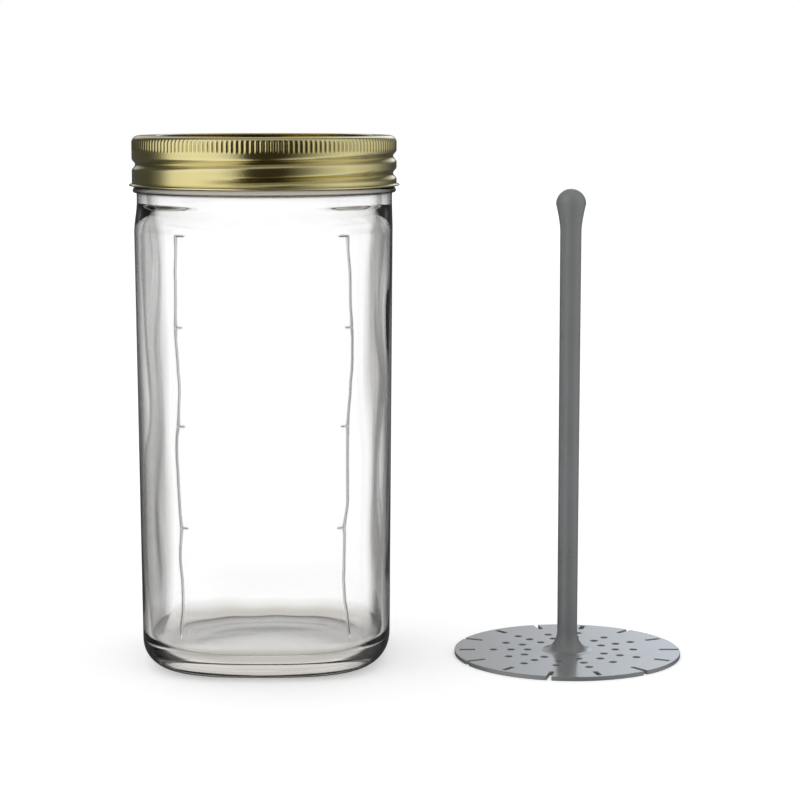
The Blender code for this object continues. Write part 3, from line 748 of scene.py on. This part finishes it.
# %% Sizes of the band
FLUTES = 168
COLUMNS_PER_FLUTE = 4
BAND_RADIUS = 0.0494
BAND_SHEET = 0.0005
BAND_SHOULDER = 0.0026
LIP_HOLE = 0.0404
LIP_FOOT_Z = BAND_TOP_Z - BAND_SHEET
SHOULDER_Z = BAND_TOP_Z - BAND_SHOULDER
FLANGE_THICKNESS = 0.0006
FLANGE_TOP_Z = BAND_FOOT_Z + FLANGE_THICKNESS
GROOVE_START_Z = 0.1839
GROOVE_START = math.radians(-120.0)
GROOVE_END = math.radians(400.0)
GROOVE_DEPTH = 0.0013
GROOVE_HALF_WIDTH = 0.0022
FLUTE_DEPTH = 0.00032
KNURL_TOP_Z = 0.1970
KNURL_FOOT_Z = 0.1923
KNURL_FADE = 0.0006
print("one flute, mm:", round(1000 * FULL_TURN * BAND_RADIUS / FLUTES, 2))

# %% Outline of the band
def band_outline():
    """The band's sheet as a closed loop: lip, shoulder, skirt and foot outside, then back up inside."""
    loop = [(LIP_HOLE + 0.0001, BAND_TOP_Z - 0.0001), (LIP_HOLE + 0.0003, BAND_TOP_Z)]
    loop += arc(BAND_RADIUS - BAND_SHOULDER, SHOULDER_Z, BAND_SHOULDER, QUARTER_TURN, 0.0, 10)
    loop += straight(loop[-1], (BAND_RADIUS, FLANGE_TOP_Z + 0.0005), 34)
    loop += arc(BAND_RADIUS + 0.0005, FLANGE_TOP_Z + 0.0005, 0.0005, math.pi, 1.5 * math.pi, 3)[1:]
    curl = FLANGE_THICKNESS / 2
    loop += arc(FLANGE_RADIUS - curl, BAND_FOOT_Z + curl, curl, QUARTER_TURN, -QUARTER_TURN, 6)
    inner_radius = BAND_RADIUS - BAND_SHEET
    loop.append((inner_radius + 0.0001, BAND_FOOT_Z))
    loop += straight((inner_radius, BAND_FOOT_Z + 0.0001), (inner_radius, SHOULDER_Z), 26)
    round_inside = BAND_SHOULDER - BAND_SHEET
    loop += arc(BAND_RADIUS - BAND_SHOULDER, SHOULDER_Z, round_inside, 0.0, QUARTER_TURN, 6)[1:]
    loop.append((LIP_HOLE + 0.0003, LIP_FOOT_Z))
    loop.append((LIP_HOLE + 0.0001, LIP_FOOT_Z + 0.0001))
    loop.append((LIP_HOLE, LIP_FOOT_Z + BAND_SHEET / 2))
    loop.append(loop[0])
    return loop


band = spin_outline("gold_band", band_outline(), FLUTES * COLUMNS_PER_FLUTE, closed=True)
print("band before pressing:", len(band.data.polygons), "faces")

# %% [markdown]
# The groove is a soft dip that follows the helix, deepest in its middle. The flutes are a wave round the
# ring, which fades out above and below, because the knurling wheel leaves no hard end.

# %% Press the groove and the knurl
def pressed(place):
    """Where the press and the knurling wheel push a point of the sheet."""
    radius = math.hypot(place.x, place.y)
    turn = math.atan2(place.y, place.x)
    push = 0.0
    if radius > LIP_HOLE + 0.004:
        above, fade = along_helix(turn, place.z, GROOVE_START_Z, GROOVE_START, GROOVE_END)
        if abs(above) < GROOVE_HALF_WIDTH:
            dip = 0.5 + 0.5 * math.cos(math.pi * above / GROOVE_HALF_WIDTH)
            push += GROOVE_DEPTH * fade * dip
        reach = min((KNURL_TOP_Z - place.z) / KNURL_FADE, (place.z - KNURL_FOOT_Z) / KNURL_FADE)
        if reach > 0.0 and radius > BAND_RADIUS - BAND_SHOULDER * 0.75:
            flute = 0.5 - 0.5 * math.cos(turn * FLUTES)
            push += FLUTE_DEPTH * eased(0.0, 1.0, reach) * flute
    shrink = (radius - push) / radius
    return (place.x * shrink, place.y * shrink, place.z)


move_vertices(band, pressed)
settle(band, JAR_X, smooth_degrees=40.0)

# %% [markdown]
# ## The disc
# Under the band lies a flat disc of the same gold tinplate. Its panel drops a little into the mouth, its rim
# curls over the glass, and a round button in the middle clicks down when the jar is sealed. Button and ring
# are given as radius and height above the panel.

# %% Disc
DISC_SHEET = 0.0005
DISC_TOP_Z = RIM_Z + 0.0021
PANEL_Z = DISC_TOP_Z - 0.0012
PLUG_RADIUS = BORE_RADIUS - 0.0006
CURL_GAP = 0.0003
CURL_END = math.radians(50.0)
BUTTON_TOP = (
    (0.0, 0.0006), (0.0060, 0.0006), (0.0094, 0.00055), (0.0104, 0.0005), (0.0120, 0.0003), (0.0134, 0.0001),
    (0.0146, 0.0))
RING_TOP = (
    (0.0240, 0.0), (0.0256, 0.00005), (0.0264, 0.00025), (0.0272, 0.0003), (0.0280, 0.00025),
    (0.0288, 0.00005), (0.0304, 0.0))
BUTTON_BELOW = ((0.0146, -DISC_SHEET), (0.0120, -0.0002), (0.0104, 0.0001), (0.0, 0.0001))


def disc_outline():
    """The disc's sheet from the middle of its top, round the curl of the rim, to the middle below."""
    inner_plug = PLUG_RADIUS - DISC_SHEET
    curl_middle = BAND_RADIUS - BAND_SHOULDER
    curl = BAND_SHOULDER - BAND_SHEET - CURL_GAP
    below = DISC_TOP_Z - DISC_SHEET
    panel_below = PANEL_Z - DISC_SHEET
    loop = [(radius, PANEL_Z + height) for radius, height in BUTTON_TOP + RING_TOP]
    loop += [(inner_plug - 0.0012, PANEL_Z), (inner_plug - 0.0005, PANEL_Z + 0.0001)]
    loop += [(inner_plug - 0.0001, PANEL_Z + 0.0004), (inner_plug + 0.0001, DISC_TOP_Z - 0.0003)]
    loop += [(inner_plug + 0.0005, DISC_TOP_Z)]
    loop += arc(curl_middle, SHOULDER_Z, curl, QUARTER_TURN, CURL_END, 6)
    loop += arc(curl_middle, SHOULDER_Z, curl - DISC_SHEET, CURL_END, QUARTER_TURN, 6)
    loop += [(PLUG_RADIUS + 0.0002, below), (PLUG_RADIUS, below - 0.0003), (PLUG_RADIUS, PANEL_Z + 0.0001)]
    loop += [(PLUG_RADIUS - 0.0004, panel_below + 0.0001), (PLUG_RADIUS - 0.0010, panel_below)]
    loop += [(radius, PANEL_Z + height) for radius, height in BUTTON_BELOW]
    return loop


disc = spin_outline("gold_disc", disc_outline(), 160)
settle(disc, JAR_X, smooth_degrees=50.0)

# %% [markdown]
# ## A shared effect: uneven surface
# Lacquer, plastic and sealing compound are none of them quite even. One node group serves all three. It gives
# a slow mottle, a fine grain and both together, read from the place on the object so that they stay with it.

# %% Node group for uneven surfaces
def build_unevenness():
    """A shader node group: slow mottle and fine grain by place on the object."""
    group = bpy.data.node_groups.new("uneven_surface", "ShaderNodeTree")
    for name, default in (("Mottle Scale", 60.0), ("Grain Scale", 900.0), ("Grain Share", 0.4)):
        socket = group.interface.new_socket(name, in_out="INPUT", socket_type="NodeSocketFloat")
        socket.default_value = default
    for name in ("Mottle", "Grain", "Both"):
        group.interface.new_socket(name, in_out="OUTPUT", socket_type="NodeSocketFloat")
    given = group.nodes.new("NodeGroupInput")
    result = group.nodes.new("NodeGroupOutput")
    place = add_node(group, "TexCoord").outputs["Object"]
    mottle = add_node(group, "TexNoise", Vector=place, Scale=given.outputs["Mottle Scale"], Detail=3.0)
    grain = add_node(group, "TexNoise", Vector=place, Scale=given.outputs["Grain Scale"], Detail=2.0)
    both = add_node(
        group, "Mix", {"data_type": "FLOAT"},
        _0=given.outputs["Grain Share"], _2=mottle.outputs[0], _3=grain.outputs[0])
    group.links.new(mottle.outputs[0], result.inputs["Mottle"])
    group.links.new(grain.outputs[0], result.inputs["Grain"])
    group.links.new(both.outputs[0], result.inputs["Both"])
    return group


UNEVENNESS = build_unevenness()


def add_unevenness(tree, mottle_scale, grain_scale, grain_share):
    """The unevenness group as a node, with its own values."""
    made = tree.nodes.new("ShaderNodeGroup")
    made.node_tree = UNEVENNESS
    made.inputs["Mottle Scale"].default_value = mottle_scale
    made.inputs["Grain Scale"].default_value = grain_scale
    made.inputs["Grain Share"].default_value = grain_share
    return made


def add_softness(tree, shader, uneven, low, high):
    """Roughness that wanders with the unevenness between two values."""
    softness = add_node(
        tree, "MapRange", _0=uneven.outputs["Both"], From_Min=0.3, From_Max=0.7, To_Min=low, To_Max=high)
    tree.links.new(softness.outputs[0], shader.inputs["Roughness"])


print("shared group:", UNEVENNESS.name)

# %% [markdown]
# ## Gold lacquer
# The gold is a clear yellow lacquer baked on tin. It is a metal to the eye, but the lacquer softens the
# reflection. It wears thin on crests, where the tin shows paler, and gathers deeper in the grooves.

# %% Gold lacquer
GOLD = (0.70, 0.615, 0.275)
DEEP_GOLD = (0.56, 0.47, 0.18)
PALE_GOLD = (0.76, 0.69, 0.38)


def build_gold(name):
    """Gold lacquer on tinplate."""
    material, tree, shader = new_finish(name, Metallic=1.0, Coat_Weight=0.3, Coat_Roughness=0.18)
    uneven = add_unevenness(tree, mottle_scale=45.0, grain_scale=1400.0, grain_share=0.35)
    crests = add_node(tree, "NewGeometry")
    worn = add_ramp(tree, crests.outputs["Pointiness"], [(0.485, 0.0), (0.50, 0.35), (0.53, 1.0)])
    depth = add_ramp(tree, worn, [(0.0, DEEP_GOLD), (0.35, GOLD), (1.0, PALE_GOLD)])
    shade = add_ramp(tree, uneven.outputs["Mottle"], [(0.3, 0.93), (0.7, 1.0)])
    tree.links.new(multiplied(tree, depth, shade), shader.inputs["Base Color"])
    add_softness(tree, shader, uneven, low=0.13, high=0.22)
    add_relief(tree, shader, uneven.outputs["Grain"], strength=0.10, distance=0.0002)
    return material


for piece, node, body, slot in (
    (band, "screw_band", "band", "band_metal"),
    (disc, "lid_disc", "lid", "lid_disc_metal"),
):
    wear(piece, build_gold("gold_lacquer_" + body))
    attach(piece, body)
    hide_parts(node)

# %% [markdown]
# ## The sealing ring
# The ring's CAD shape is right as it is: a plain flat ring of compound. It only gets a better finish, matt
# and off-white, with the fine skin that flowed compound has.

# %% Sealing compound
compound, compound_tree, compound_shader = new_finish("soft_compound", Roughness=0.55)
compound_uneven = add_unevenness(compound_tree, mottle_scale=120.0, grain_scale=2200.0, grain_share=0.5)
compound_colour = add_ramp(
    compound_tree, compound_uneven.outputs["Mottle"], [(0.3, (0.76, 0.75, 0.71)), (0.7, (0.82, 0.81, 0.78))])
compound_tree.links.new(compound_colour, compound_shader.inputs["Base Color"])
add_relief(compound_tree, compound_shader, compound_uneven.outputs["Grain"], strength=0.25, distance=0.0001)
wear(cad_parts["sealing_ring"], compound)

# %% [markdown]
# ## The lifter
# The lifter is one moulding. Its stem, knob and flared foot are round, so they are spun. The plate is easier
# as a flat curve, which is filled between its outline and its holes and rounded on all its edges at once.
# The two are then joined into one skin with a Boolean, as the mould joins them in plastic.

# %% Sizes of the lifter
PLATE_THICKNESS = 0.0016
PLATE_EDGE = 0.00028
KNOB_RADIUS = 0.00565
KNOB_TAPER = 0.0101
STEM_TOP_RADIUS = 0.0040
STEM_FOOT_RADIUS = 0.0038
FLARE_RADIUS = 0.0096
FLARE_HEIGHT = 0.0076
RAYS = 14
HOLE_RADIUS = 0.0014
SLOT_HALF_WIDTH = 0.00085
OPEN_RAY_HOLES = (0.43, 0.59)
CLOSED_RAY_HOLES = (0.35, 0.50, 0.655)
SLOT_INNER = 0.82
SLOT_OUTER = 0.955
print("lifter height, mm:", round(1000 * LIFTER_TOP_Z, 1), "plate, mm:", round(2000 * PLATE_RADIUS, 1))

# %% Stem, knob and flared foot
def stem_outline():
    """Half outline from the top of the knob to the middle of the foot."""
    knob_z = LIFTER_TOP_Z - KNOB_RADIUS
    loop = arc(0.0, knob_z, KNOB_RADIUS, QUARTER_TURN, 0.0, 14)
    loop[0] = (0.0, LIFTER_TOP_Z)
    for step in range(1, 13):
        share = step / 12
        radius = STEM_TOP_RADIUS + (KNOB_RADIUS - STEM_TOP_RADIUS) * (1.0 - share) ** 1.5
        loop.append((radius, knob_z - KNOB_TAPER * share))
    loop += straight(loop[-1], (STEM_FOOT_RADIUS, PLATE_THICKNESS + FLARE_HEIGHT), 6)
    for step in range(1, 13):
        angle = QUARTER_TURN * step / 12
        radius = STEM_FOOT_RADIUS + (FLARE_RADIUS - STEM_FOOT_RADIUS) * (1.0 - math.cos(angle))
        loop.append((radius, PLATE_THICKNESS + 0.00006 + FLARE_HEIGHT * (1.0 - math.sin(angle))))
    loop.append((FLARE_RADIUS + 0.0002, PLATE_THICKNESS / 2))
    loop.append((0.0, PLATE_THICKNESS / 2))
    return loop


lifter = spin_outline("grey_lifter", stem_outline(), 96)
print("stem before the plate:", len(lifter.data.polygons), "faces")

# %% [markdown]
# The plate has fourteen rays. Every other ray ends in a slot that is open at the rim, and the rays between
# end in a closed slot, each with its small round holes further in.

# %% Outlines of the plate
def ray_point(along, across, turn):
    """A point at a distance along a ray and beside it."""
    cos, sin = math.cos(turn), math.sin(turn)
    return (along * cos - across * sin, along * sin + across * cos)


def plate_edge():
    """The rim of the plate, which runs in and out of each open slot."""
    points = []
    mouth = 0.0004
    half_mouth = math.asin((SLOT_HALF_WIDTH + mouth) / PLATE_RADIUS)
    spacing = 2 * FULL_TURN / RAYS
    for ray in range(0, RAYS, 2):
        turn = ray * FULL_TURN / RAYS
        end = PLATE_RADIUS * SLOT_INNER + SLOT_HALF_WIDTH
        corner = PLATE_RADIUS * math.cos(half_mouth) - mouth
        for side, quarter in ((-1, range(4)), (1, range(3, -1, -1))):
            bend = []
            for step in quarter:
                angle = QUARTER_TURN * step / 3
                across = SLOT_HALF_WIDTH + mouth - mouth * math.sin(angle)
                bend.append(ray_point(corner + mouth * math.cos(angle), side * across, turn))
            points += bend
            if side == -1:
                for step in range(1, 8):
                    angle = -QUARTER_TURN - math.pi * step / 8
                    along = end + SLOT_HALF_WIDTH * math.cos(angle)
                    points.append(ray_point(along, SLOT_HALF_WIDTH * math.sin(angle), turn))
        first = turn + half_mouth
        last = turn + spacing - half_mouth
        for step in range(1, 24):
            angle = first + (last - first) * step / 24
            points.append((PLATE_RADIUS * math.cos(angle), PLATE_RADIUS * math.sin(angle)))
    return points


def plate_openings():
    """The round holes and closed slots of all the rays."""
    openings = []
    for ray in range(RAYS):
        turn = ray * FULL_TURN / RAYS
        for share in OPEN_RAY_HOLES if ray % 2 == 0 else CLOSED_RAY_HOLES:
            hole = []
            for step in range(24):
                angle = FULL_TURN * step / 24
                along = PLATE_RADIUS * share + HOLE_RADIUS * math.cos(angle)
                hole.append(ray_point(along, HOLE_RADIUS * math.sin(angle), turn))
            openings.append(hole)
        if ray % 2 == 1:
            slot = []
            corner = 0.0003
            inner, outer = PLATE_RADIUS * SLOT_INNER, PLATE_RADIUS * SLOT_OUTER
            for along, across, start in (
                (outer - corner, SLOT_HALF_WIDTH - corner, 0), (inner + corner, SLOT_HALF_WIDTH - corner, 1),
                (inner + corner, corner - SLOT_HALF_WIDTH, 2), (outer - corner, corner - SLOT_HALF_WIDTH, 3),
            ):
                for step in range(4):
                    angle = QUARTER_TURN * (start + step / 3)
                    bend_along, bend_across = corner * math.cos(angle), corner * math.sin(angle)
                    slot.append(ray_point(along + bend_along, across + bend_across, turn))
            openings.append(slot)
    return openings


print("openings in the plate:", len(plate_openings()), "and", RAYS // 2, "open slots")

# %% Fill the plate
plate_curve = bpy.data.curves.new("plate", "CURVE")
plate_curve.dimensions = "2D"
plate_curve.fill_mode = "BOTH"
plate_curve.extrude = PLATE_THICKNESS / 2 - PLATE_EDGE
plate_curve.bevel_depth = PLATE_EDGE
plate_curve.bevel_resolution = 2
plate_curve.offset = -PLATE_EDGE
for outline in [plate_edge()] + plate_openings():
    spline = plate_curve.splines.new("POLY")
    spline.points.add(len(outline) - 1)
    for point, (x, y) in zip(spline.points, outline):
        point.co = (x, y, 0.0, 1.0)
    spline.use_cyclic_u = True
bpy.ops.object.select_all(action="DESELECT")
plate = bpy.data.objects.new("plate", plate_curve)
bpy.context.scene.collection.objects.link(plate)
plate.location = (0.0, 0.0, PLATE_THICKNESS / 2)
plate.select_set(True)
bpy.context.view_layer.objects.active = plate
bpy.ops.object.convert(target="MESH")
bpy.ops.object.transform_apply(location=True, rotation=True, scale=True)
bpy.ops.object.mode_set(mode="EDIT")
bpy.ops.mesh.select_all(action="SELECT")
bpy.ops.mesh.remove_doubles(threshold=WELD)
bpy.ops.mesh.normals_make_consistent(inside=False)
bpy.ops.object.mode_set(mode="OBJECT")
print("plate alone:", len(plate.data.polygons), "faces")

# %% [markdown]
# The Boolean joins plate and stem, and Weighted Normal keeps the flat faces flat in the light while the small
# rounded edges stay soft.

# %% Join the moulding
use_modifier(lifter, "BOOLEAN", operation="UNION", solver="EXACT", object=plate)
bpy.data.objects.remove(plate, do_unlink=True)
settle(lifter, LIFTER_X, smooth_degrees=50.0)
use_modifier(lifter, "WEIGHTED_NORMAL", keep_sharp=True, weight=60)
print("lifter:", len(lifter.data.polygons), "faces in one skin")

# %% [markdown]
# ## Grey plastic
# The lifter is moulded in a plain mid grey. Its skin has a low gloss: matt from the front, but the plate is
# seen at a low angle and shows a soft bright sheen with the stem mirrored in it. Faint flow marks vary the
# grey, and a fine grain keeps the sheen from looking like a mirror.

# %% Grey plastic
plastic, plastic_tree, plastic_shader = new_finish("grey_plastic", IOR=1.5, Coat_Roughness=0.18, Coat_IOR=1.5)
plastic_place = add_node(plastic_tree, "TexCoord")
plastic_spot = add_node(plastic_tree, "SeparateXYZ", Vector=plastic_place.outputs["Object"])
plate_shine = add_node(
    plastic_tree, "MapRange", _0=plastic_spot.outputs["Z"], From_Min=PLATE_THICKNESS + 0.0005,
    From_Max=PLATE_THICKNESS + 0.0030, To_Min=1.0, To_Max=0.0)
plastic_tree.links.new(plate_shine.outputs[0], plastic_shader.inputs["Coat Weight"])
plastic_uneven = add_unevenness(plastic_tree, mottle_scale=38.0, grain_scale=2600.0, grain_share=0.5)
plastic_colour = add_ramp(plastic_tree, plastic_uneven.outputs["Mottle"], [
    (0.3, (0.173, 0.180, 0.182)), (0.7, (0.194, 0.202, 0.205))])
plastic_tree.links.new(plastic_colour, plastic_shader.inputs["Base Color"])
add_softness(plastic_tree, plastic_shader, plastic_uneven, low=0.25, high=0.35)
add_relief(plastic_tree, plastic_shader, plastic_uneven.outputs["Grain"], strength=0.15, distance=0.0001)
wear(lifter, plastic)
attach(lifter, "lifter")
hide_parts("lift_strainer")
